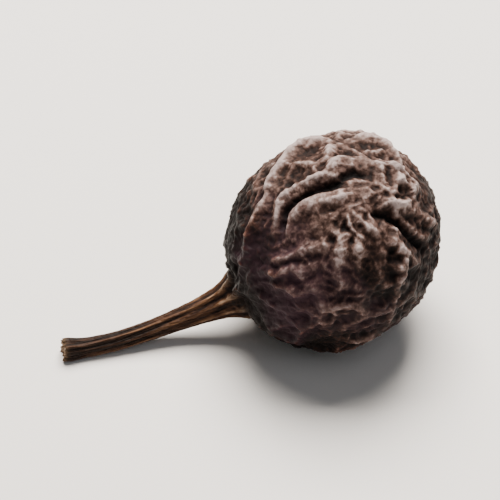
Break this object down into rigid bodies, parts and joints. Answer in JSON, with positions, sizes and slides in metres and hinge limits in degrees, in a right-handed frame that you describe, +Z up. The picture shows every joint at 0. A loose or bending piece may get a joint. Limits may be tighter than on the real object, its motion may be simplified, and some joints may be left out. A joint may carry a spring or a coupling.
{
  "type": "cubeb pepper",
  "caption": "Dried tailed peppercorn: a round berry with a net of raised wrinkles, drawn out at its base into a slim ribbed stalk.",
  "frame": {"origin": "on the small flat spot that the berry rests on, straight below the berry's middle", "axes": "+Z up from the surface it rests on; the stalk runs out along -X, down to that surface; +Y is sideways"},
  "size_m": [0.0106, 0.0059, 0.0058],
  "materials": {
    "dried_skin": "dry wrinkled fruit skin, dark brown to near black in the hollows, greyish tan on the worn crests and browner on the stalk, with a dull waxy sheen"
  },
  "bodies": {
    "root": {"cubeb_pepper": "dried_skin"}
  },
  "joints": []
}
